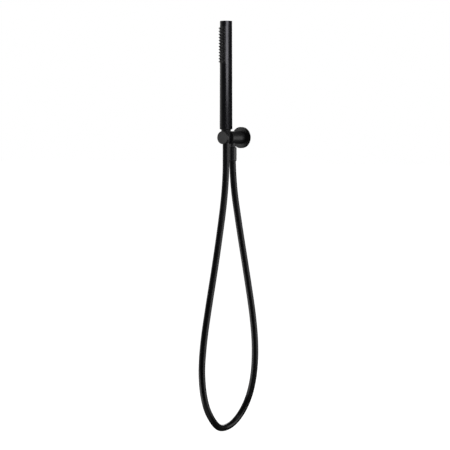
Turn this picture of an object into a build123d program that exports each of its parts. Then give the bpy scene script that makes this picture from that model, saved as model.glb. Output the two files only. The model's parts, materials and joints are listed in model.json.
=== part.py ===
"""Stick hand shower resting in a wall outlet elbow, joined to it by a smooth hose.

Millimetres. The origin is on the wall plane, at the centre of the wall plate. -Y points out of the
wall into the room, +X to the right of someone facing the wall, and +Z up.
"""

from build123d import *

import os
from math import pi, radians, tan

# ---- driving dimensions -------------------------------------------------------------------------

# wall plate and outlet arm; distances "out" are measured from the wall
PLATE_RADIUS = 22.3
PLATE_FRONT = 7.5
PLATE_REAR = 0.8
ARM_RADIUS = 13.5
ARM_REAR = 1.5
ARM_FRONT = 70.0
THREAD_RADIUS = 10.48  # G1/2 male thread, over its crests
THREAD_DEPTH = 12.0  # how far the wall nipple reaches into the wall
SOCKET_RADIUS = 9.0
SOCKET_DEPTH = 26.0
WATERWAY_RADIUS = 5.2
SCREW_OUT = 14.0
SCREW_RADIUS = 2.45

# seat in the arm for the handset's conical nut, with a slot at its side that lets the hose in
SEAT_OUT = 57.0
SEAT_RADIUS = 11.3
SLOT_WIDTH = 15.0
CONE_GAP = 0.3

# conical nut on the handset's thread
CONE_LOW = -11.0
CONE_LOW_RADIUS = 8.4
CONE_TOP = 17.0
CONE_TOP_RADIUS = 10.15
NUT_RADIUS = 11.95
NUT_TOP = 33.0

# stem and crimp sleeve at the wall end of the hose
OUTLET_OUT = 34.7
STEM_RADIUS = 6.5
SLEEVE_RADIUS = 8.8
SLEEVE_TOP = -20.3
SLEEVE_LOW = -49.0

# hose, 14 mm outside
HOSE_RADIUS = 7.0
HOSE_BORE = 4.5
HOSE_WALL_END = -24.2
HOSE_HAND_END = 19.0
SHORTEST_SHARE = 0.45  # share of the shorter run that each arc of the hose takes up

# handset
SHELL_LOW = 17.0
SHELL_TOP = 240.6
SHELL_LOW_RADIUS = 13.3
SHELL_TOP_RADIUS = 12.65
SHELL_BORE = 10.9
SKIRT_BORE = 12.2
SKIRT_TOP = 35.0
CAP_GROOVE = 1.9  # how far the middle of the top cap's O-ring groove is below its top
FACE_TURN = -13.0  # the spray face is turned this far from straight out of the wall, about +Z

# spray face: staggered columns of soft nozzles on a part-cylinder, inside a long window
WINDOW_CENTRE = 191.4
WINDOW_LENGTH = 76.2
WINDOW_WIDTH = 18.8
WINDOW_CORNER = 4.0
FACE_RADIUS = 12.0
FACE_INNER = 10.6
PAD_RADIUS = 10.55
PAD_INNER = 9.55
NOZZLE_COLUMNS = 4
NOZZLE_ROWS = 12  # every other column has one row fewer, half a pitch further in
NOZZLE_COLUMN_TURN = 24.5
NOZZLE_PITCH = 6.29
NOZZLE_TIP = 15.1
NOZZLE_BASE_RADIUS = 1.5
NOZZLE_TIP_RADIUS = 1.15
NOZZLE_HOLE_RADIUS = 1.65
JET_RADIUS = 0.5

# spray chamber and the tube that feeds it
CHAMBER_LOW = 132.0
CHAMBER_TOP = 236.0
CHAMBER_RADIUS = 9.5
CHAMBER_BORE = 8.1
TUBE_RADIUS = 5.0
TUBE_BORE = 3.4
TUBE_LOW = 44.2
TUBE_TOP = 140.0
TUBE_SOCKET = 5.3

# check valve in the wall nipple; distances from the wall
VALVE_SEAT = 5.0
VALVE_END = 21.0
VALVE_RADIUS = 5.9

# Points of the hose's route, chosen by hand, from the wall end to the handset's end. It hangs free
# in a loop: the rear side clears the wall by a few millimetres and the front side swings out.
HOSE_ROUTE = [
    (0, -OUTLET_OUT, HOSE_WALL_END),
    (0, -OUTLET_OUT, -86),
    (12.5, -28, -185),
    (26, -18, -290),
    (39, -13, -380),
    (44, -12, -448),
    (38, -11, -511),
    (24, -16, -563),
    (15, -46, -599),
    (15, -91, -606),
    (26, -132, -587),
    (24, -160, -546),
    (15, -161, -485),
    (10, -147, -418),
    (7, -125, -345),
    (3.5, -100, -270),
    (1.5, -80, -198),
    (0.5, -65, -135),
    (0, -57.4, -80),
    (0, -SEAT_OUT, -32),
    (0, -SEAT_OUT, HOSE_HAND_END),
]

BASE = (Align.CENTER, Align.CENTER, Align.MIN)


# ---- helpers ------------------------------------------------------------------------------------


def turned(*outline):
    """A solid turned about +Z from the points (radius, height) of its closed outline."""
    edge = Polyline(*[(radius, 0, height) for radius, height in outline], close=True)
    return revolve(make_face(edge), Axis.Z)


def ring(outer, inner, low, high):
    """A plain upright ring."""
    return turned((inner, low), (outer, low), (outer, high), (inner, high))


def rod(radius, low, high):
    """A plain upright cylinder."""
    return Pos(0, 0, low) * Cylinder(radius, high - low, align=BASE)


def seal(middle, thickness, height):
    """An O-ring round +Z."""
    return Pos(0, 0, height) * Torus(middle, thickness)


def out_of_wall(shape):
    """Turns a shape made about +Z so that its height becomes its distance out of the wall."""
    return Rot(X=90) * shape


def at_outlet(shape):
    """Moves a shape from the origin to the outlet under the arm."""
    return Pos(0, -OUTLET_OUT, 0) * shape


def at_seat(shape):
    """Moves a shape from the origin to the seat, the handset's own axis."""
    return Pos(0, -SEAT_OUT, 0) * shape


def on_handset(shape):
    """Moves a shape to the handset's axis and turns it with the spray face."""
    return at_seat(Rot(Z=FACE_TURN) * shape)


def cone_radius(height):
    """The conical nut's outer radius at a height, on the cone or on its line carried further."""
    share = (height - CONE_LOW) / (CONE_TOP - CONE_LOW)
    return CONE_LOW_RADIUS + share * (CONE_TOP_RADIUS - CONE_LOW_RADIUS)


def window_block(smaller):
    """The block that cuts the spray window through the front, smaller all round by this much."""
    outline = RectangleRounded(
        WINDOW_WIDTH - 2 * smaller, WINDOW_LENGTH - 2 * smaller, WINDOW_CORNER - smaller
    )
    return Pos(0, 0, WINDOW_CENTRE) * extrude(Plane.XZ * outline, 2 * SHELL_LOW_RADIUS)


def hose_slot(width):
    """The block that opens the seat towards +X over its full height."""
    return Pos(0, -SEAT_OUT, 0) * Box(
        3 * ARM_RADIUS, width, 4 * ARM_RADIUS, align=(Align.MIN, Align.CENTER, Align.CENTER)
    )


# ---- wall bracket -------------------------------------------------------------------------------


def outlet_arm():
    arm = out_of_wall(rod(ARM_RADIUS, ARM_REAR, ARM_FRONT))
    arm = fillet(arm.edges().group_by(Axis.Y)[0], 0.8)
    arm -= out_of_wall(rod(SOCKET_RADIUS, 0, SOCKET_DEPTH))
    arm -= out_of_wall(rod(WATERWAY_RADIUS, SOCKET_DEPTH - 1, OUTLET_OUT + WATERWAY_RADIUS))
    arm -= at_outlet(rod(STEM_RADIUS + 0.1, -2 * ARM_RADIUS, -5))
    arm -= at_outlet(rod(4.5, -6, 0))
    arm -= Pos(0, -SCREW_OUT, 0) * rod(SCREW_RADIUS + 0.05, -2 * ARM_RADIUS, -5)
    arm -= at_seat(rod(SEAT_RADIUS, -2 * ARM_RADIUS, 2 * ARM_RADIUS))
    return arm - hose_slot(SLOT_WIDTH)


def seat_liner():
    low, high = -ARM_RADIUS, ARM_RADIUS
    inner_low = cone_radius(low) + CONE_GAP
    inner_high = cone_radius(high) + CONE_GAP
    outer = SEAT_RADIUS - 0.1
    liner = at_seat(turned((inner_low, low), (outer, low), (outer, high), (inner_high, high)))
    liner &= out_of_wall(rod(ARM_RADIUS - 0.3, 0, ARM_FRONT))
    return liner - hose_slot(SLOT_WIDTH)


def escutcheon():
    bore = ARM_RADIUS + 0.05
    return out_of_wall(
        turned(
            (bore, PLATE_FRONT),
            (bore, PLATE_FRONT - 2.2),
            (PLATE_RADIUS - 2.4, PLATE_FRONT - 2.2),
            (PLATE_RADIUS - 2.4, PLATE_REAR),
            (PLATE_RADIUS, PLATE_REAR),
            (PLATE_RADIUS, PLATE_FRONT - 0.6),
            (PLATE_RADIUS - 0.6, PLATE_FRONT),
        )
    )


def escutcheon_o_ring():
    """O-ring behind the plate's web that grips the arm, so that the plate can't slide off the wall."""
    return out_of_wall(seal(ARM_RADIUS + 0.66, 0.64, PLATE_FRONT - 2.2 - 0.66))


def escutcheon_gasket():
    return out_of_wall(ring(PLATE_RADIUS - 0.2, PLATE_RADIUS - 2.2, 0, PLATE_REAR))


def wall_nipple():
    spigot = SOCKET_RADIUS - 0.15
    groove = 7.55
    return out_of_wall(
        turned(
            (6.0, -THREAD_DEPTH),
            (THREAD_RADIUS, -THREAD_DEPTH),
            (THREAD_RADIUS, 1.3),
            (spigot, 1.3),
            (spigot, 6.6),
            (groove, 6.6),
            (groove, 8.6),
            (spigot, 8.6),
            (spigot, SCREW_OUT - 2.3),
            (7.8, SCREW_OUT - 2.3),
            (7.8, SCREW_OUT + 2.3),
            (spigot, SCREW_OUT + 2.3),
            (spigot, 19.4),
            (groove, 19.4),
            (groove, 21.4),
            (spigot, 21.4),
            (spigot, 24.0),
            (6.0, 24.0),
        )
    )


def nipple_o_rings():
    return [out_of_wall(seal(8.28, 0.7, out)) for out in (7.6, 20.4)]


def grub_screw():
    low = -ARM_RADIUS + 0.4
    screw = turned((0, low), (SCREW_RADIUS, low), (SCREW_RADIUS, -9.4), (1.4, -8.0), (0, -8.0))
    key = extrude(RegularPolygon(1.25, 6, major_radius=False), 2.4)
    return Pos(0, -SCREW_OUT, 0) * (screw - Pos(0, 0, low) * key)


# ---- check valve in the wall nipple -------------------------------------------------------------


def check_valve_cage():
    body = ring(VALVE_RADIUS, 4.9, VALVE_SEAT - 2, VALVE_END)
    seat = ring(5.0, 3.3, VALVE_SEAT - 2, VALVE_SEAT)
    hub = ring(2.1, 1.1, VALVE_END - 4, VALVE_END)
    spokes = [
        Rot(Z=120 * i) * Pos(3.45, 0, VALVE_END - 2) * Box(3.2, 1.0, 2.4) for i in range(3)
    ]
    cage = body + seat + hub
    for spoke in spokes:
        cage += spoke
    return out_of_wall(cage)


def check_valve_poppet():
    low = VALVE_SEAT + 0.55
    return out_of_wall(
        turned(
            (0, low),
            (4.2, low),
            (4.2, low + 1.2),
            (1.04, low + 2.0),
            (1.04, VALVE_END - 0.5),
            (0, VALVE_END - 0.5),
        )
    )


def poppet_seal():
    return out_of_wall(ring(4.1, 2.4, VALVE_SEAT + 0.05, VALVE_SEAT + 0.55))


def check_valve_spring():
    low, high = VALVE_SEAT + 2.6, VALVE_END - 4.4
    wire, middle = 0.25, 2.6
    coil = Helix(pitch=(high - low) / 6, height=high - low, radius=middle)
    section = Plane(origin=coil @ 0, z_dir=coil % 0) * Circle(wire)
    return out_of_wall(Pos(0, 0, low) * sweep(section, path=coil))


# ---- hose and its two ends ----------------------------------------------------------------------


def hose_radii():
    """Each corner's arc radius, from its turn and the shorter of its two runs."""
    points = [Vector(*point) for point in HOSE_ROUTE]
    runs = [b - a for a, b in zip(points, points[1:])]
    radii = []
    for before, after in zip(runs, runs[1:]):
        half_turn = radians(before.get_angle(after)) / 2
        radii.append(SHORTEST_SHARE * min(before.length, after.length) / tan(half_turn))
    return radii


def hose():
    radii = hose_radii()
    path = FilletPolyline(*HOSE_ROUTE, radius=radii)
    ends = Plane(origin=path @ 0, z_dir=path % 0)
    tube = sweep(ends * Circle(HOSE_RADIUS), path=path)
    tube -= sweep(ends * Circle(HOSE_BORE), path=path)
    expected = pi * (HOSE_RADIUS**2 - HOSE_BORE**2) * path.length
    print("hose radii", [round(radius) for radius in radii])
    print(f"hose length {path.length:.1f}, volume / (section x length) {tube.volume / expected:.5f}")
    return tube


def wall_hose_stem():
    """Threaded spout under the arm, with the barbed tail that the hose is crimped on."""
    barbs = [(4.4, -26.5), (4.2, -31), (4.4, -32), (4.2, -36.5), (4.4, -37.5), (4.2, -43), (3.6, -44)]
    return at_outlet(
        turned(
            (3.0, -44),
            (3.0, -6),
            (STEM_RADIUS - 0.5, -6),
            (STEM_RADIUS, -6.5),
            (STEM_RADIUS, -8.6),
            (STEM_RADIUS - 1.2, -8.6),
            (STEM_RADIUS - 1.2, -10.4),
            (STEM_RADIUS, -10.4),
            (STEM_RADIUS, -22.1),
            (7.1, -22.1),
            (7.1, -24.1),
            (4.4, -24.1),
            *barbs,
        )
    )


def stem_o_ring():
    return at_outlet(seal(STEM_RADIUS - 0.56, 0.6, -9.5))


def wall_hose_sleeve():
    """Crimp sleeve over the hose's wall end, with a lip that hooks behind the stem's flange."""
    return at_outlet(
        turned(
            (7.15, SLEEVE_LOW),
            (SLEEVE_RADIUS - 1.2, SLEEVE_LOW),
            (SLEEVE_RADIUS, SLEEVE_LOW + 1.2),
            (SLEEVE_RADIUS, SLEEVE_TOP - 1.0),
            (SLEEVE_RADIUS - 1.0, SLEEVE_TOP),
            (STEM_RADIUS + 0.1, SLEEVE_TOP),
            (STEM_RADIUS + 0.1, -22.0),
            (7.15, -22.0),
        )
    )


def handset_hose_tail():
    """Flanged tail in the hose's other end; the conical nut turns round its flange."""
    return at_seat(
        turned(
            (3.0, -2), (3.6, -2), (4.2, -1), (4.2, 20.05), (9.2, 20.05), (9.2, 22.0), (3.0, 22.0)
        )
    )


def handset_hose_sleeve():
    return at_seat(ring(7.75, HOSE_RADIUS + 0.3, 4.0, 19.95))


# ---- handset ------------------------------------------------------------------------------------


def cone_nut():
    nut = turned(
        (7.4, CONE_LOW),
        (CONE_LOW_RADIUS - 0.4, CONE_LOW),
        (cone_radius(CONE_LOW + 0.4), CONE_LOW + 0.4),
        (CONE_TOP_RADIUS, CONE_TOP),
        (CONE_TOP_RADIUS, 19.5),
        (NUT_RADIUS - 0.5, 19.5),
        (NUT_RADIUS, 20.0),
        (NUT_RADIUS, NUT_TOP),
        (THREAD_RADIUS, NUT_TOP),
        (THREAD_RADIUS, 20.0),
        (8.05, 20.0),
        (8.05, 2.0),
        (7.4, 2.0),
    )
    return on_handset(nut)


def cone_washer():
    return on_handset(ring(9.4, 5.6, 22.05, 24.05))


def shell_radius(height):
    share = (height - SHELL_LOW) / (SHELL_TOP - SHELL_LOW)
    return SHELL_LOW_RADIUS + share * (SHELL_TOP_RADIUS - SHELL_LOW_RADIUS)


def handset_shell():
    shell = turned(
        (SKIRT_BORE, SHELL_LOW),
        (SHELL_LOW_RADIUS - 0.8, SHELL_LOW),
        (SHELL_LOW_RADIUS, SHELL_LOW + 0.8),
        (shell_radius(SHELL_TOP - 0.3), SHELL_TOP - 0.3),
        (SHELL_TOP_RADIUS - 0.3, SHELL_TOP),
        (SHELL_BORE, SHELL_TOP),
        (SHELL_BORE, SKIRT_TOP),
        (SKIRT_BORE, SKIRT_TOP),
    )
    return on_handset(shell - window_block(0))


def top_cap():
    edge = SHELL_BORE - 0.08
    skirt_low = CHAMBER_TOP + 0.1
    groove_middle = SHELL_TOP - CAP_GROOVE
    return on_handset(
        turned(
            (0, SHELL_TOP),
            (edge - 0.3, SHELL_TOP),
            (edge, SHELL_TOP - 0.3),
            (edge, groove_middle + 0.9),
            (9.5, groove_middle + 0.9),
            (9.5, groove_middle - 0.9),
            (edge, groove_middle - 0.9),
            (edge, skirt_low),
            (8.0, skirt_low),
            (8.0, SHELL_TOP - 1.8),
            (0, SHELL_TOP - 1.8),
        )
    )


def cap_o_ring():
    return on_handset(seal(10.18, 0.65, SHELL_TOP - CAP_GROOVE))


def nozzle_places():
    """The turn and the height of every nozzle, column by column."""
    places = []
    for column in range(NOZZLE_COLUMNS):
        turn = (column - (NOZZLE_COLUMNS - 1) / 2) * NOZZLE_COLUMN_TURN
        rows = NOZZLE_ROWS - (column + 1) % 2
        for row in range(rows):
            places.append((turn, WINDOW_CENTRE + (row - (rows - 1) / 2) * NOZZLE_PITCH))
    return places


def at_nozzle(turn, height, shape):
    """Lays a shape made about +Z along one nozzle's axis, outwards through the spray face."""
    return Pos(0, 0, height) * (Rot(Z=-turn) * out_of_wall(shape))


def nozzle_face():
    """Rigid curved plate in the window, with a round hole for every nozzle."""
    plate = ring(FACE_RADIUS, FACE_INNER, 0, SHELL_TOP) & window_block(0.15)
    holes = [
        at_nozzle(turn, height, rod(NOZZLE_HOLE_RADIUS, FACE_INNER - 2, FACE_RADIUS + 2))
        for turn, height in nozzle_places()
    ]
    return on_handset(plate - holes)


def nozzle_pad():
    """Soft sheet behind the face, with a tapered nozzle through every hole of the face."""
    pad = ring(PAD_RADIUS, PAD_INNER, 0, SHELL_TOP) & window_block(0.3)
    places = nozzle_places()
    nub = turned(
        (0, PAD_RADIUS - 0.5),
        (NOZZLE_BASE_RADIUS, PAD_RADIUS - 0.5),
        (NOZZLE_BASE_RADIUS, FACE_RADIUS),
        (NOZZLE_TIP_RADIUS, NOZZLE_TIP - 0.3),
        (NOZZLE_TIP_RADIUS - 0.3, NOZZLE_TIP),
        (0, NOZZLE_TIP),
    )
    jet = rod(JET_RADIUS, PAD_INNER - 2, NOZZLE_TIP + 1)
    pad += [at_nozzle(turn, height, nub) for turn, height in places]
    return on_handset(pad - [at_nozzle(turn, height, jet) for turn, height in places])


def spray_chamber():
    floor, roof = CHAMBER_LOW + 18, CHAMBER_TOP - 3
    chamber = turned(
        (TUBE_SOCKET, CHAMBER_LOW),
        (SHELL_BORE - 0.1, CHAMBER_LOW),
        (SHELL_BORE - 0.1, CHAMBER_LOW + 3),
        (CHAMBER_RADIUS, CHAMBER_LOW + 3),
        (CHAMBER_RADIUS, roof),
        (SHELL_BORE - 0.1, roof),
        (SHELL_BORE - 0.1, CHAMBER_TOP),
        (0, CHAMBER_TOP),
        (0, roof),
        (CHAMBER_BORE, roof),
        (CHAMBER_BORE, floor),
        (TUBE_BORE, floor),
        (TUBE_BORE, CHAMBER_LOW + 14),
        (TUBE_SOCKET, CHAMBER_LOW + 14),
    )
    return on_handset(chamber - window_block(2.4))


def water_tube():
    groove = 4.2
    low_ring, high_ring = TUBE_LOW + 3, TUBE_TOP - 3
    return on_handset(
        turned(
            (TUBE_BORE, TUBE_LOW),
            (TUBE_RADIUS, TUBE_LOW),
            (TUBE_RADIUS, low_ring - 0.8),
            (groove, low_ring - 0.8),
            (groove, low_ring + 0.8),
            (TUBE_RADIUS, low_ring + 0.8),
            (TUBE_RADIUS, high_ring - 0.8),
            (groove, high_ring - 0.8),
            (groove, high_ring + 0.8),
            (TUBE_RADIUS, high_ring + 0.8),
            (TUBE_RADIUS, TUBE_TOP),
            (TUBE_BORE, TUBE_TOP),
        )
    )


def water_tube_o_rings():
    return [on_handset(seal(4.74, 0.5, height)) for height in (TUBE_LOW + 3, TUBE_TOP - 3)]


def inlet_connector():
    body = SHELL_BORE - 0.1
    return on_handset(
        turned(
            (7.0, 24.1),
            (THREAD_RADIUS - 0.7, 24.1),
            (THREAD_RADIUS - 0.1, 24.7),
            (THREAD_RADIUS - 0.1, 33.3),
            (SKIRT_BORE - 0.1, 33.3),
            (SKIRT_BORE - 0.1, 34.9),
            (body, 34.9),
            (body, 46.0),
            (9.6, 46.0),
            (9.6, 48.0),
            (body, 48.0),
            (body, 52.0),
            (TUBE_SOCKET, 52.0),
            (TUBE_SOCKET, 44.0),
            (TUBE_BORE, 44.0),
            (TUBE_BORE, 36.0),
            (7.0, 36.0),
        )
    )


def connector_o_ring():
    return on_handset(seal(10.23, 0.6, 47.0))


def flow_limiter():
    disc = rod(6.9, 31.0, 35.9)
    disc -= [Rot(Z=60 * i) * Pos(4.2, 0, 0) * rod(0.9, 30, 37) for i in range(6)]
    return on_handset(disc - rod(1.2, 30, 33))


def filter_screen():
    mesh = [rod(0.55, 24, 27)]
    for count, radius in ((6, 2.0), (12, 3.9)):
        mesh += [Rot(Z=360 / count * i) * Pos(radius, 0, 0) * rod(0.55, 24, 27) for i in range(count)]
    return on_handset((rod(6.9, 25.0, 26.2) - mesh) + ring(6.9, 5.4, 26.2, 28.0))


# ---- output -------------------------------------------------------------------------------------

PARTS = [
    outlet_arm,
    seat_liner,
    escutcheon,
    escutcheon_o_ring,
    escutcheon_gasket,
    wall_nipple,
    nipple_o_rings,
    grub_screw,
    check_valve_cage,
    check_valve_poppet,
    poppet_seal,
    check_valve_spring,
    hose,
    wall_hose_stem,
    stem_o_ring,
    wall_hose_sleeve,
    handset_hose_tail,
    handset_hose_sleeve,
    cone_nut,
    cone_washer,
    handset_shell,
    top_cap,
    cap_o_ring,
    nozzle_face,
    nozzle_pad,
    spray_chamber,
    water_tube,
    water_tube_o_rings,
    inlet_connector,
    connector_o_ring,
    flow_limiter,
    filter_screen,
]

os.makedirs("parts", exist_ok=True)
for make in PARTS:
    shape = make()
    if isinstance(shape, list):
        shape = Compound(children=shape)
    export_step(shape, f"parts/{make.__name__}.step")
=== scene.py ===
"""Looks of a matt black stick hand shower resting in its wall outlet elbow.

Metres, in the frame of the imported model: the origin is on the wall plane at the centre of the wall
plate, -Y points out of the wall, +X to the right of someone facing it, and +Z up.
"""

import json
from math import cos, pi, radians, sin

import bpy
import numpy as np
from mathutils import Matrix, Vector


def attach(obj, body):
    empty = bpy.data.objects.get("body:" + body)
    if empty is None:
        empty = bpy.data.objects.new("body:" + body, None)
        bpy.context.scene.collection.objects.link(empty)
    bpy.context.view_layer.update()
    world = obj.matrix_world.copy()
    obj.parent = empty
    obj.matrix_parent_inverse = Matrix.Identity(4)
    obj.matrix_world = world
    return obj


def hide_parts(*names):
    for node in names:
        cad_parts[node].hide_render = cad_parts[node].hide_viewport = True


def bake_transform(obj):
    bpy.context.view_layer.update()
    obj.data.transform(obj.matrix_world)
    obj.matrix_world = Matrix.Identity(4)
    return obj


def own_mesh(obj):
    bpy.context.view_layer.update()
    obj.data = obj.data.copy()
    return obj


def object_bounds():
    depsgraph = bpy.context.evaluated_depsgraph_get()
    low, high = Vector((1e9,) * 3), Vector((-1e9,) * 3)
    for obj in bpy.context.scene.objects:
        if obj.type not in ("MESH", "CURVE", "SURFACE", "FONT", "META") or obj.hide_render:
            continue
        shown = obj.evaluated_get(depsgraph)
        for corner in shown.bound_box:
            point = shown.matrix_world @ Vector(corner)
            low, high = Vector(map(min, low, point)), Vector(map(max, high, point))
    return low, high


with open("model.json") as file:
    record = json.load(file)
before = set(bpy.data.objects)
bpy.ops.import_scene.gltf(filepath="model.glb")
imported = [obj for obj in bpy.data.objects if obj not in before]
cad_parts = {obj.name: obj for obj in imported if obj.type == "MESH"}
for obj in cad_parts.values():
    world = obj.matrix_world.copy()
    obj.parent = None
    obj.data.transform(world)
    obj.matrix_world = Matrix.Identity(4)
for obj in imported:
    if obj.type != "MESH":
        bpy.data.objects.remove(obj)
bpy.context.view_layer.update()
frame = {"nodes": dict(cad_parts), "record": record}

MM = 0.001

# ---- driving values -----------------------------------------------------------------------------

# the hose's route, from the wall end to the handset's end
HOSE_ROUTE = [
    (0, -0.0347, -0.0242),
    (0, -0.0347, -0.086),
    (0.0125, -0.028, -0.185),
    (0.026, -0.018, -0.290),
    (0.039, -0.013, -0.380),
    (0.044, -0.012, -0.448),
    (0.038, -0.011, -0.511),
    (0.024, -0.016, -0.563),
    (0.015, -0.046, -0.599),
    (0.015, -0.091, -0.606),
    (0.026, -0.132, -0.587),
    (0.024, -0.160, -0.546),
    (0.015, -0.161, -0.485),
    (0.010, -0.147, -0.418),
    (0.007, -0.125, -0.345),
    (0.0035, -0.100, -0.270),
    (0.0015, -0.080, -0.198),
    (0.0005, -0.065, -0.135),
    (0, -0.0574, -0.080),
    (0, -0.057, -0.032),
    (0, -0.057, 0.019),
]
HOSE_DIAMETER = 0.014
HOSE_BORE = 0.009
HOSE_SIDES = 32
HOSE_STEPS = 20  # points of the smooth line for each point of the route

# wall nipple: a G1/2 pipe thread, then a spigot with grooves; distances are measured out of the
# wall
THREAD_PITCH = 25.4 * MM / 14
THREAD_CREST = 10.48 * MM
THREAD_DEPTH = 1.162 * MM
THREAD_START = -12.0 * MM
THREAD_END = 0.2 * MM
THREAD_STEPS = 14  # rings of points in each turn of the thread
THREAD_FLAT = 0.12  # flat stretch at each crest and root, as a share of half a pitch
THREAD_RUN_OUT = 1.5  # how steeply the thread fades into the collar behind it
SPIGOT_END = 24.0 * MM
NIPPLE_SIDES = 96
NIPPLE_BORE = 6.0 * MM
NIPPLE_CHAMFER = 0.3 * MM

# check valve's spring, between the poppet and the cage's hub; distances are measured out of the
# wall
SPRING_LOW = 7.6 * MM
SPRING_HIGH = 16.6 * MM
SPRING_RADIUS = 2.6 * MM
SPRING_WIRE = 0.25 * MM
SPRING_TURNS = 7
SPRING_END_RISE = 0.75 * MM  # the first and the last turn are wound closer than the rest
SPRING_STEPS = 24  # points in each turn
SPRING_SIDES = 10

# camera, to the right of the shower and level with its arm, looking slightly down
CAMERA_TURN = radians(37)
CAMERA_DROP = radians(3.57)
CAMERA_DISTANCE = 3.0
CAMERA_AIM = Vector((-0.0291, -0.0219, -0.185))
VIEW_WIDTH = 0.954
SENSOR = 36.0

# darker and lighter tint of each black finish
COAT_TINTS = ((0.007, 0.007, 0.0072), (0.013, 0.013, 0.0132))
SHELL_TINTS = ((0.004, 0.004, 0.005), (0.0055, 0.0055, 0.007))
HOSE_TINTS = ((0.005, 0.005, 0.0052), (0.008, 0.008, 0.0083))
NOZZLE_TINTS = ((0.010, 0.010, 0.010), (0.018, 0.018, 0.018))
WIRE_PITCH = 0.5 * MM
WAVE_TURN = 20  # how far a wave texture turns over a metre at a scale of 1, in radians

# light from the world; each pair is where it starts and where it is full, on the unit sphere
BAND_TURN = 45  # degrees from straight behind the shower, as the camera sees it, to the left
BAND_LIGHT = 0.6
BAND_SIDES = (0.35, 0.95)
BAND_FOOT = (-0.45, 0.0)
DOME_LIGHT = 0.04
FLOOR_LIGHT = 0.45  # what the floor in front of the wall sends back up
FLOOR_FALL = (-0.25, -0.6)
ROOM_SIDE = (0.1, -0.4)

WHITE = (1, 1, 1)
KEY_COLOUR = (0.93, 0.92, 1.0)  # the key light is faintly blue

FLOOR_GAP = 0.14  # how far the floor lies below the hose's loop
FLOOR_REACH = 30.0
FLOOR_GREY = (0.3, 0.3, 0.3, 1)


# ---- mesh helpers -------------------------------------------------------------------------------


def mesh_piece(name, points, faces, body, uv=None):
    """A smooth-shaded mesh object riding on a body; uv gives each corner's place in metres."""
    mesh = bpy.data.meshes.new(name)
    mesh.from_pydata([tuple(point) for point in points], [], faces)
    if uv is not None:
        layer = mesh.uv_layers.new(name="surface")
        layer.data.foreach_set("uv", np.array(uv, np.float32).ravel())
    mesh.shade_smooth()
    mesh.validate()
    piece = bpy.data.objects.new(name, mesh)
    bpy.context.scene.collection.objects.link(piece)
    if body:
        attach(piece, body)
    return piece


def grid_faces(rows, sides, close_rows):
    """Quads between rings of points, each ring closed; the last ring joins the first if asked."""
    faces = []
    for row in range(rows if close_rows else rows - 1):
        below, above = row * sides, (row + 1) % rows * sides
        for side in range(sides):
            after = (side + 1) % sides
            faces.append((below + side, below + after, above + after, above + side))
    return faces


# ---- hose ---------------------------------------------------------------------------------------


def hose_line():
    """The points of the smooth line that the hose follows, read from the route's own spline."""
    curve = bpy.data.curves.new("hose_line", "CURVE")
    curve.dimensions = "3D"
    spline = curve.splines.new("NURBS")
    spline.points.add(len(HOSE_ROUTE) - 1)
    for point, place in zip(spline.points, HOSE_ROUTE):
        point.co = (*place, 1)
    spline.order_u = 3
    spline.use_endpoint_u = True
    spline.resolution_u = HOSE_STEPS
    holder = bpy.data.objects.new("hose_line", curve)
    mesh = bpy.data.meshes.new_from_object(holder)
    line = [vertex.co.copy() for vertex in mesh.vertices]
    bpy.data.objects.remove(holder)
    bpy.data.curves.remove(curve)
    bpy.data.meshes.remove(mesh)
    return line


def cross_sections(line):
    """Two directions square to the line at each of its points, carried along without twist."""
    sideways = Vector((1, 0, 0))
    frames = []
    for i in range(len(line)):
        ahead = (line[min(i + 1, len(line) - 1)] - line[max(i - 1, 0)]).normalized()
        sideways = (sideways - ahead * sideways.dot(ahead)).normalized()
        frames.append((sideways, ahead.cross(sideways)))
    return frames


def build_hose():
    """The hose as a hollow tube."""
    line = hose_line()
    frames = cross_sections(line)
    points = []
    for radius, order in ((HOSE_DIAMETER / 2, 1), (HOSE_BORE / 2, -1)):
        for place, (across, other) in list(zip(line, frames))[::order]:
            for side in range(HOSE_SIDES):
                turn = 2 * pi * side / HOSE_SIDES
                points.append(place + radius * (cos(turn) * across + sin(turn) * other))
    faces = grid_faces(2 * len(line), HOSE_SIDES, True)
    travelled = [0.0]
    for before, after in zip(line, line[1:]):
        travelled.append(travelled[-1] + (after - before).length)
    rows = travelled + travelled[::-1]
    strip = pi * HOSE_DIAMETER / HOSE_SIDES
    uv = []
    for row in range(len(rows)):
        near, far = rows[row], rows[(row + 1) % len(rows)]
        for side in range(HOSE_SIDES):
            left, right = side * strip, (side + 1) * strip
            uv += [(left, near), (right, near), (right, far), (left, far)]
    hose = mesh_piece("shower_hose", points, faces, None, uv)
    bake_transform(hose)
    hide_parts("hose")
    return hose


# ---- wall nipple --------------------------------------------------------------------------------


def thread_radius(out, turn):
    """Radius of the thread's outline: smooth flanks between rounded crests and roots."""
    phase = (out / THREAD_PITCH - turn / (2 * pi)) % 1
    flank = abs(2 * phase - 1)
    climbed = min(1, max(0, (flank - THREAD_FLAT) / (1 - 2 * THREAD_FLAT)))
    rounded = 0.5 - 0.5 * cos(pi * climbed)
    root = THREAD_CREST - THREAD_DEPTH
    lead_in = root + (out - THREAD_START)
    run_out = root + THREAD_RUN_OUT * (THREAD_END - out)
    return max(root, min(root + THREAD_DEPTH * rounded, lead_in, run_out))


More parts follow.
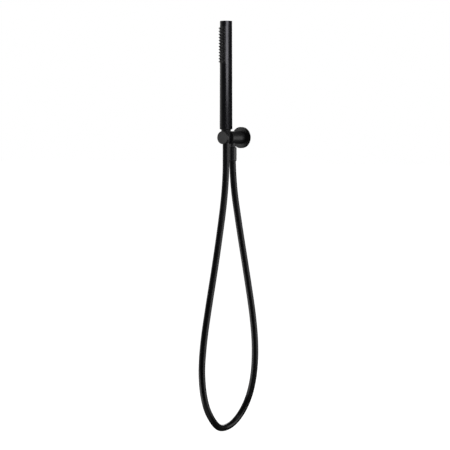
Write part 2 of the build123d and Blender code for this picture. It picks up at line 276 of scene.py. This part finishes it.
def build_nipple():
    """The hollow brass nipple, with its thread in the wall and its spigot inside the arm."""
    spigot = [  # radius and distance out of the wall, in millimetres
        (9.2, 0.25), (9.2, 1.1), (8.6, 1.15), (8.85, 1.4), (8.85, 6.55), (8.8, 6.6), (7.55, 6.62),
        (7.55, 8.58), (8.8, 8.6), (8.85, 8.65), (8.85, 11.6), (7.85, 11.72), (7.8, 11.8),
        (7.8, 16.2), (7.85, 16.28), (8.85, 16.4), (8.85, 19.35), (8.8, 19.4), (7.55, 19.42),
        (7.55, 21.38), (8.8, 21.4), (8.85, 21.45), (8.85, 23.6), (8.45, 24.0), (6.3, 24.0),
    ]
    turns = [2 * pi * side / NIPPLE_SIDES for side in range(NIPPLE_SIDES)]
    steps = round((THREAD_END - THREAD_START) / THREAD_PITCH * THREAD_STEPS)
    rings = [[(NIPPLE_BORE + NIPPLE_CHAMFER, THREAD_START)] * NIPPLE_SIDES]
    for step in range(steps + 1):
        out = THREAD_START + (THREAD_END - THREAD_START) * step / steps
        rings.append([(thread_radius(out, turn), out) for turn in turns])
    for radius, out in spigot:
        rings.append([(radius * MM, out * MM)] * NIPPLE_SIDES)
    rings.append([(NIPPLE_BORE, SPIGOT_END - NIPPLE_CHAMFER)] * NIPPLE_SIDES)
    rings.append([(NIPPLE_BORE, THREAD_START + NIPPLE_CHAMFER)] * NIPPLE_SIDES)
    points = []
    for ring in rings:
        for (radius, out), turn in zip(ring, turns):
            points.append((radius * cos(turn), -out, radius * sin(turn)))
    faces = grid_faces(len(rings), NIPPLE_SIDES, True)
    nipple = mesh_piece("threaded_nipple", points, faces, "bracket")
    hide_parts("wall_nipple")
    return nipple


# ---- check valve's spring -----------------------------------------------------------------------


def build_spring():
    """The wire coil that closes the check valve."""
    line = []
    for step in range(SPRING_TURNS * SPRING_STEPS + 1):
        turn = step / SPRING_STEPS
        out = np.interp(
            turn,
            (0, 1, SPRING_TURNS - 1, SPRING_TURNS),
            (SPRING_LOW, SPRING_LOW + SPRING_END_RISE, SPRING_HIGH - SPRING_END_RISE, SPRING_HIGH),
        )
        angle = 2 * pi * turn
        line.append(Vector((SPRING_RADIUS * cos(angle), -out, SPRING_RADIUS * sin(angle))))
    points = []
    for place, (across, other) in zip(line, cross_sections(line)):
        for side in range(SPRING_SIDES):
            turn = 2 * pi * side / SPRING_SIDES
            points.append(place + SPRING_WIRE * (cos(turn) * across + sin(turn) * other))
    faces = grid_faces(len(line), SPRING_SIDES, False)
    faces.append(tuple(reversed(range(SPRING_SIDES))))
    faces.append(tuple(range(len(points) - SPRING_SIDES, len(points))))
    spring = mesh_piece("valve_spring", points, faces, "bracket")
    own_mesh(spring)
    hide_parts("check_valve_spring")
    return spring


# ---- materials ----------------------------------------------------------------------------------


def principled(name, roughness=0.5, metallic=0.0):
    """A new material with its node tree and its Principled shader."""
    material = bpy.data.materials.new(name)
    material.use_nodes = True
    shader = material.node_tree.nodes["Principled BSDF"]
    shader.inputs["Roughness"].default_value = roughness
    shader.inputs["Metallic"].default_value = metallic
    return material, material.node_tree, shader


def surface_place(tree, stretch=(1, 1, 1), uv=False):
    """Where a point is on its piece, in metres; a stretch under 1 draws the pattern out."""
    place = tree.nodes.new("ShaderNodeTexCoord")
    mapping = tree.nodes.new("ShaderNodeMapping")
    mapping.inputs["Scale"].default_value = stretch
    tree.links.new(place.outputs["UV" if uv else "Object"], mapping.inputs["Vector"])
    return mapping.outputs["Vector"]


def grain(tree, place, size, detail=2.0):
    """Noise whose features are about this many metres across, from 0 to 1."""
    noise = tree.nodes.new("ShaderNodeTexNoise")
    noise.inputs["Scale"].default_value = 1 / size
    noise.inputs["Detail"].default_value = detail
    tree.links.new(place, noise.inputs["Vector"])
    return noise.outputs["Fac"]


def cells(tree, place, size):
    """Distance from the middle of irregular cells that are about this many metres across."""
    voronoi = tree.nodes.new("ShaderNodeTexVoronoi")
    voronoi.inputs["Scale"].default_value = 1 / size
    tree.links.new(place, voronoi.inputs["Vector"])
    return voronoi.outputs["Distance"]


def map_range(tree, source, low, high, to_low, to_high):
    """A smooth change of a value from one level to another; returns its output socket."""
    node = tree.nodes.new("ShaderNodeMapRange")
    node.interpolation_type = "SMOOTHSTEP"
    for socket, value in (
        ("From Min", low),
        ("From Max", high),
        ("To Min", to_low),
        ("To Max", to_high),
    ):
        node.inputs[socket].default_value = value
    tree.links.new(source, node.inputs["Value"])
    return node.outputs["Result"]


def maths(tree, operation, first, second):
    """A sum, a product or the like of a socket and a number or another socket."""
    node = tree.nodes.new("ShaderNodeMath")
    node.operation = operation
    tree.links.new(first, node.inputs[0])
    if isinstance(second, (int, float)):
        node.inputs[1].default_value = second
    else:
        tree.links.new(second, node.inputs[1])
    return node.outputs["Value"]


def tint(tree, shader, source, dark, light):
    """Colours the shader from dark to light by a value from about 0.3 to 0.7."""
    ramp = tree.nodes.new("ShaderNodeValToRGB")
    ramp.color_ramp.elements[0].position = 0.3
    ramp.color_ramp.elements[1].position = 0.7
    ramp.color_ramp.elements[0].color = (*dark, 1)
    ramp.color_ramp.elements[1].color = (*light, 1)
    tree.links.new(source, ramp.inputs["Fac"])
    tree.links.new(ramp.outputs["Color"], shader.inputs["Base Color"])


def gloss(tree, shader, source, low, high):
    """Varies the shader's roughness with a value from about 0.3 to 0.7."""
    tree.links.new(map_range(tree, source, 0.3, 0.7, low, high), shader.inputs["Roughness"])


def bump(tree, shader, layers):
    """Raises the surface by each layer, a pair of a value from 0 to 1 and its height in metres."""
    below = None
    for source, height in layers:
        node = tree.nodes.new("ShaderNodeBump")
        node.inputs["Distance"].default_value = height
        tree.links.new(source, node.inputs["Height"])
        if below:
            tree.links.new(below, node.inputs["Normal"])
        below = node.outputs["Normal"]
    tree.links.new(below, shader.inputs["Normal"])


def matt_coat(name, smooth, rough):
    """Matt black coating on brass: a very fine, slightly lumpy powder texture."""
    material, tree, shader = principled(name)
    place = surface_place(tree)
    powder = grain(tree, place, 0.4 * MM, 3)
    lumps = grain(tree, place, 1.8 * MM)
    handled = grain(tree, place, 14 * MM, 4)
    mottle = maths(tree, "MULTIPLY", maths(tree, "ADD", powder, lumps), 0.5)
    tint(tree, shader, mottle, *COAT_TINTS)
    gloss(tree, shader, handled, smooth, rough)
    bump(tree, shader, [(lumps, 0.03 * MM), (powder, 0.014 * MM)])
    return material


def satin_shell():
    """Smooth satin black lacquer with a faint blue cast and a barely seen orange peel."""
    material, tree, shader = principled("satin_shell")
    place = surface_place(tree)
    peel = grain(tree, place, 2.2 * MM, 1)
    dust = grain(tree, place, 0.25 * MM)
    handled = grain(tree, surface_place(tree, (1, 1, 0.35)), 16 * MM, 5)
    tint(tree, shader, handled, *SHELL_TINTS)
    gloss(tree, shader, handled, 0.24, 0.31)
    bump(tree, shader, [(peel, 0.01 * MM), (dust, 0.001 * MM)])
    return material


def moulded_plastic():
    """Matt black moulded plastic with the even spark-eroded grain of its tool."""
    material, tree, shader = principled("moulded_black_plastic")
    place = surface_place(tree)
    erosion = grain(tree, place, 0.22 * MM, 3)
    flow = grain(tree, place, 9 * MM, 3)
    tint(tree, shader, flow, (0.006, 0.006, 0.0065), (0.010, 0.010, 0.0105))
    gloss(tree, shader, flow, 0.42, 0.52)
    bump(tree, shader, [(erosion, 0.012 * MM)])
    return material


def hose_skin():
    """Satin black extruded hose: faint lines along it and a slight waviness across."""
    material, tree, shader = principled("hose_skin")
    lines = grain(tree, surface_place(tree, (1, 0.02, 1), uv=True), 0.9 * MM, 2)
    waves = grain(tree, surface_place(tree, (0.25, 1, 1), uv=True), 11 * MM, 1)
    handled = grain(tree, surface_place(tree), 20 * MM, 4)
    speckle = grain(tree, surface_place(tree), 0.3 * MM, 2)
    tint(tree, shader, handled, *HOSE_TINTS)
    gloss(tree, shader, handled, 0.26, 0.34)
    bump(tree, shader, [(waves, 0.03 * MM), (lines, 0.006 * MM), (speckle, 0.002 * MM)])
    shader.inputs["Specular IOR Level"].default_value = 0.3
    return material


def silicone():
    """Soft matt silicone with a dusty bloom."""
    material, tree, shader = principled("nozzle_silicone")
    place = surface_place(tree)
    bloom = grain(tree, place, 3 * MM, 4)
    skin = grain(tree, place, 0.18 * MM, 2)
    tint(tree, shader, bloom, *NOZZLE_TINTS)
    gloss(tree, shader, bloom, 0.5, 0.62)
    bump(tree, shader, [(skin, 0.006 * MM)])
    shader.inputs["Sheen Weight"].default_value = 0.15
    shader.inputs["Sheen Roughness"].default_value = 0.4
    return material


def rubber():
    """Dull black nitrile rubber with a fine skin and a little talc."""
    material, tree, shader = principled("seal_rubber")
    place = surface_place(tree)
    skin = grain(tree, place, 0.3 * MM, 3)
    talc = grain(tree, place, 2.5 * MM, 5)
    tint(tree, shader, talc, (0.012, 0.012, 0.012), (0.028, 0.028, 0.028))
    gloss(tree, shader, talc, 0.5, 0.66)
    bump(tree, shader, [(skin, 0.01 * MM)])
    return material


def turned_brass(name, along):
    """Machined brass with turning marks square to the axis that it was turned about."""
    material, tree, shader = principled(name, metallic=1.0)
    stretch = tuple(1.0 if axis == along else 0.002 for axis in "XYZ")
    marks = grain(tree, surface_place(tree, stretch), 0.12 * MM, 3)
    tarnish = grain(tree, surface_place(tree), 6 * MM, 5)
    tint(tree, shader, tarnish, (0.53, 0.35, 0.13), (0.76, 0.55, 0.26))
    gloss(tree, shader, marks, 0.2, 0.34)
    bump(tree, shader, [(marks, 0.004 * MM)])
    return material


def plastic(name, dark, light, roughness):
    """Moulded plastic with soft flow marks and a fine grain."""
    material, tree, shader = principled(name)
    place = surface_place(tree)
    flow = grain(tree, surface_place(tree, (1, 1, 0.3)), 7 * MM, 3)
    tint(tree, shader, flow, dark, light)
    gloss(tree, shader, flow, roughness - 0.04, roughness + 0.06)
    bump(tree, shader, [(grain(tree, place, 0.35 * MM, 2), 0.006 * MM)])
    return material


def steel():
    """Stainless steel with a fine brushed grain."""
    material, tree, shader = principled("stainless_steel", metallic=1.0)
    brushed = grain(tree, surface_place(tree, (1, 1, 0.06)), 0.15 * MM, 3)
    cloudy = grain(tree, surface_place(tree), 4 * MM, 3)
    tint(tree, shader, cloudy, (0.5, 0.5, 0.5), (0.64, 0.64, 0.63))
    gloss(tree, shader, brushed, 0.22, 0.36)
    bump(tree, shader, [(brushed, 0.002 * MM)])
    return material


def woven_steel():
    """Fine stainless wire cloth, woven square."""
    material, tree, shader = principled("woven_steel", metallic=1.0)
    place = surface_place(tree)
    bands = []
    for direction in ("X", "Y"):
        wave = tree.nodes.new("ShaderNodeTexWave")
        wave.bands_direction = direction
        wave.inputs["Scale"].default_value = 2 * pi / (WAVE_TURN * WIRE_PITCH)
        tree.links.new(place, wave.inputs["Vector"])
        bands.append(wave.outputs["Fac"])
    wires = maths(tree, "MAXIMUM", *bands)
    tint(tree, shader, wires, (0.12, 0.12, 0.12), (0.6, 0.6, 0.59))
    gloss(tree, shader, grain(tree, place, 0.4 * MM), 0.26, 0.4)
    bump(tree, shader, [(wires, 0.1 * MM)])
    return material


def foam():
    """Closed-cell foam rubber, cut from a sheet."""
    material, tree, shader = principled("foam", roughness=0.85)
    place = surface_place(tree)
    pores = cells(tree, place, 0.6 * MM)
    tint(tree, shader, pores, (0.014, 0.014, 0.014), (0.04, 0.04, 0.04))
    gloss(tree, shader, grain(tree, place, 3 * MM), 0.78, 0.92)
    bump(tree, shader, [(pores, 0.12 * MM)])
    return material


def cover(piece, material):
    """Gives every slot of a piece one material."""
    if not piece.material_slots:
        piece.data.materials.append(material)
    for slot in piece.material_slots:
        slot.link = "OBJECT"
        slot.material = material


def dress(hose, nipple, spring):
    """Gives each node the material of its slot in the record, and the new pieces theirs."""
    skins = {
        "black_coat": matt_coat("matt_coat", 0.39, 0.47),
        "black_shell": satin_shell(),
        "black_plastic": moulded_plastic(),
        "black_hose": hose_skin(),
        "nozzle_silicone": silicone(),
        "seal_rubber": rubber(),
        "bare_brass": turned_brass("turned_brass", "Z"),
        "white_plastic": plastic("white_acetal", (0.66, 0.66, 0.63), (0.8, 0.8, 0.78), 0.38),
        "grey_plastic": plastic("grey_plastic", (0.1, 0.105, 0.115), (0.15, 0.155, 0.165), 0.42),
        "stainless": steel(),
        "foam": foam(),
    }
    for part in frame["record"]["subparts"]:
        cover(frame["nodes"][part["node"]], skins[part["material_slot"]])
    smoother = matt_coat("satin_coat", 0.27, 0.33)
    for node in ("wall_hose_sleeve", "cone_nut"):
        cover(frame["nodes"][node], smoother)
    cover(frame["nodes"]["filter_screen"], woven_steel())
    cover(hose, skins["black_hose"])
    cover(nipple, turned_brass("turned_brass_nipple", "Y"))
    cover(spring, skins["stainless"])


# ---- stage --------------------------------------------------------------------------------------


def build_camera():
    """A long lens that takes in the whole shower."""
    data = bpy.data.cameras.new("camera")
    data.sensor_width = SENSOR
    data.lens = SENSOR * CAMERA_DISTANCE / VIEW_WIDTH
    camera = bpy.data.objects.new("camera", data)
    bpy.context.scene.collection.objects.link(camera)
    level = cos(CAMERA_DROP)
    back = Vector((sin(CAMERA_TURN) * level, -cos(CAMERA_TURN) * level, sin(CAMERA_DROP)))
    camera.location = CAMERA_AIM + back * CAMERA_DISTANCE
    camera.rotation_mode = "QUATERNION"
    camera.rotation_quaternion = (-back).to_track_quat("-Z", "Y")
    bpy.context.scene.camera = camera


def build_world():
    """White to look at; as light a dim dome, brighter behind the shower and below its front."""
    world = bpy.data.worlds.new("studio")
    bpy.context.scene.world = world
    world.use_nodes = True
    tree = world.node_tree
    tree.nodes.clear()
    place = tree.nodes.new("ShaderNodeTexCoord")
    band = CAMERA_TURN + radians(BAND_TURN)
    along = tree.nodes.new("ShaderNodeVectorMath")
    along.operation = "DOT_PRODUCT"
    along.inputs[1].default_value = (-sin(band), cos(band), 0)
    tree.links.new(place.outputs["Generated"], along.inputs[0])
    behind = map_range(tree, along.outputs["Value"], *BAND_SIDES, 0, BAND_LIGHT)
    direction = tree.nodes.new("ShaderNodeSeparateXYZ")
    tree.links.new(place.outputs["Generated"], direction.inputs[0])
    above = map_range(tree, direction.outputs["Z"], *BAND_FOOT, 0, 1)
    band_light = maths(tree, "MULTIPLY", behind, above)
    below = map_range(tree, direction.outputs["Z"], *FLOOR_FALL, 0, FLOOR_LIGHT)
    room = map_range(tree, direction.outputs["Y"], *ROOM_SIDE, 0, 1)
    bounce = maths(tree, "MULTIPLY", below, room)
    total = maths(tree, "ADD", maths(tree, "ADD", band_light, bounce), DOME_LIGHT)
    light = tree.nodes.new("ShaderNodeBackground")
    tree.links.new(total, light.inputs["Strength"])
    seen = tree.nodes.new("ShaderNodeBackground")
    ray = tree.nodes.new("ShaderNodeLightPath")
    mix = tree.nodes.new("ShaderNodeMixShader")
    tree.links.new(ray.outputs["Is Camera Ray"], mix.inputs[0])
    tree.links.new(light.outputs[0], mix.inputs[1])
    tree.links.new(seen.outputs[0], mix.inputs[2])
    for background in (light, seen):
        background.inputs["Color"].default_value = (*WHITE, 1)
    out = tree.nodes.new("ShaderNodeOutputWorld")
    tree.links.new(mix.outputs[0], out.inputs["Surface"])


def softbox(
    name, turn, low, high, distance, width, radiance, colour=WHITE, spared=(), only=()
):
    """An upright area light facing the shower, in metres and degrees.

    Its turn is measured to the right of the camera. It reaches every piece but the spared ones,
    or just the pieces named in only.
    """
    data = bpy.data.lights.new(name, "AREA")
    data.shape = "RECTANGLE"
    data.size = width
    data.size_y = high - low
    data.energy = radiance * pi * width * (high - low)
    data.color = colour
    lamp = bpy.data.objects.new(name, data)
    bpy.context.scene.collection.objects.link(lamp)
    angle = CAMERA_TURN + radians(turn)
    lamp.location = (sin(angle) * distance, -cos(angle) * distance, (low + high) / 2)
    level = Vector((-sin(angle), cos(angle), 0))
    lamp.rotation_mode = "QUATERNION"
    lamp.rotation_quaternion = level.to_track_quat("-Z", "Y")
    lamp.visible_camera = False
    if spared or only:
        flagged = bpy.data.collections.new(name + "_flagged")
        lamp.light_linking.receiver_collection = flagged
        for piece in spared or only:
            flagged.objects.link(piece)
        for entry in flagged.collection_objects:
            entry.light_linking.link_state = "EXCLUDE" if spared else "INCLUDE"


def build_lights(hose):
    """A small high key for the handset's highlight, a soft light on each side, and fill.

    Each line gives a light's turn, low and high edge, distance, width and radiance.
    """
    nodes = frame["nodes"]
    handset = [nodes[name] for name in ("handset_shell", "nozzle_face", "top_cap", "cone_nut")]
    plate = [nodes["escutcheon"]]
    softbox("key_right", 17, 0.11, 0.45, 0.5, 0.34, 4.7, KEY_COLOUR, plate)
    softbox("side_right", 78, -1.1, 0.6, 2.2, 2.7, 1.75, spared=handset + plate)
    softbox("side_left", -76, -1.1, 0.3, 2.0, 1.8, 1.3, spared=handset + [hose])
    softbox("low_right", 78, -1.7, -0.5, 2.0, 2.6, 2.4, only=handset)
    softbox("low_left", -80, -1.7, -0.5, 2.0, 2.6, 2.4, only=handset + [hose])
    softbox("back", 180, -0.6, 0.6, 1.8, 1.2, 2.0)


def build_floor():
    """A white floor below the loop, kept out of reflections."""
    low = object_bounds()[0].z - FLOOR_GAP
    corners = ((-1, -1), (1, -1), (1, 1), (-1, 1))
    points = [(x * FLOOR_REACH, y * FLOOR_REACH, low) for x, y in corners]
    floor = mesh_piece("floor", points, [(0, 1, 2, 3)], None)
    material, _, shader = principled("floor", roughness=0.9)
    shader.inputs["Base Color"].default_value = FLOOR_GREY
    shader.inputs["Specular IOR Level"].default_value = 0
    shader.inputs["Emission Color"].default_value = (*WHITE, 1)
    shader.inputs["Emission Strength"].default_value = 1.0
    floor.data.materials.append(material)
    floor.visible_glossy = False
    floor.visible_diffuse = False


build_camera()
build_world()
hose = build_hose()
nipple = build_nipple()
spring = build_spring()
build_lights(hose)
build_floor()
dress(hose, nipple, spring)

scene = bpy.context.scene
scene.view_settings.view_transform = "Standard"
